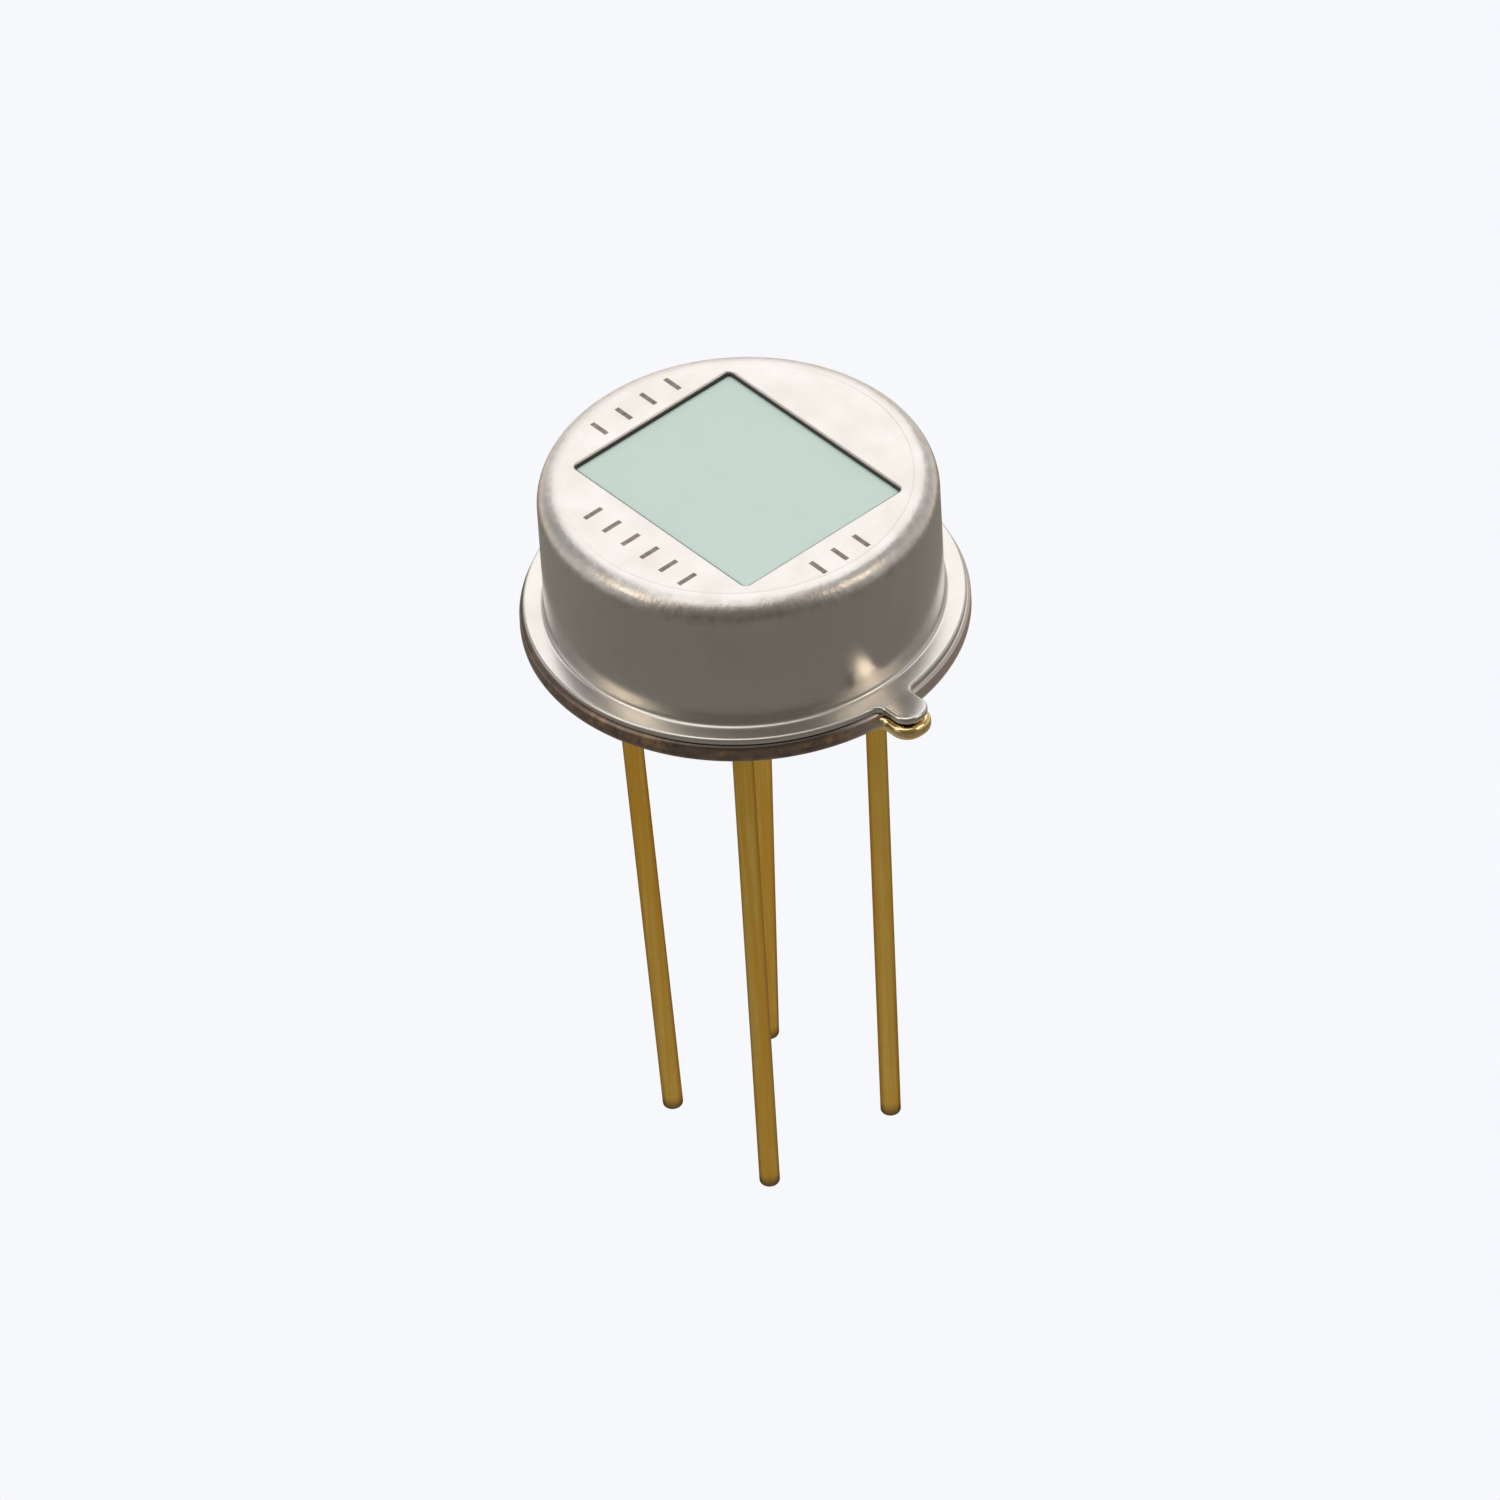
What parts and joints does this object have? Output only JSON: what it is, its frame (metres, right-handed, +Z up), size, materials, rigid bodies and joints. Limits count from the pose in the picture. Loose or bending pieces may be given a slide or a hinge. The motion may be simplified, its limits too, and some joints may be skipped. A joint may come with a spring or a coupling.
{
  "type": "silicon photomultiplier",
  "caption": "Round metal can with a rectangular coated window in its crown, an index tab on its brim and long gold-plated leads, which holds a silicon light sensor on a ceramic carrier.",
  "frame": {"origin": "centre of the seating plane, the underside of the header flange", "axes": "+Z up through the window, the window's short side along X and its long side along Y, index tab to -Y"},
  "size_m": [0.0092, 0.01, 0.0174],
  "materials": {
    "nickel": "drawn and nickel plated, satin",
    "coated_window": "coated optical filter plate, opaque to the eye",
    "black_adhesive": "cured adhesive",
    "gold": "gold plated",
    "seal_glass": "fused sealing glass, dark",
    "alumina": "fired, matt",
    "silver_adhesive": "silver-filled adhesive",
    "silicon": "polished wafer with a cell array"
  },
  "bodies": {
    "root": {"cap": "nickel", "window": "coated_window", "window_seal": "black_adhesive", "header": "gold", "anode_lead": "gold", "cathode_lead": "gold", "fast_output_lead": "gold", "case_lead": "gold", "anode_seal": "seal_glass", "cathode_seal": "seal_glass", "fast_output_seal": "seal_glass", "carrier_bond": "silver_adhesive", "carrier": "alumina", "anode_land": "gold", "cathode_land": "gold", "fast_output_land": "gold", "die_bond": "silver_adhesive", "sensor_die": "silicon", "anode_die_wire": "gold", "fast_output_die_wire": "gold", "anode_lead_wire": "gold", "cathode_lead_wire": "gold", "fast_output_lead_wire": "gold"}
  },
  "joints": []
}
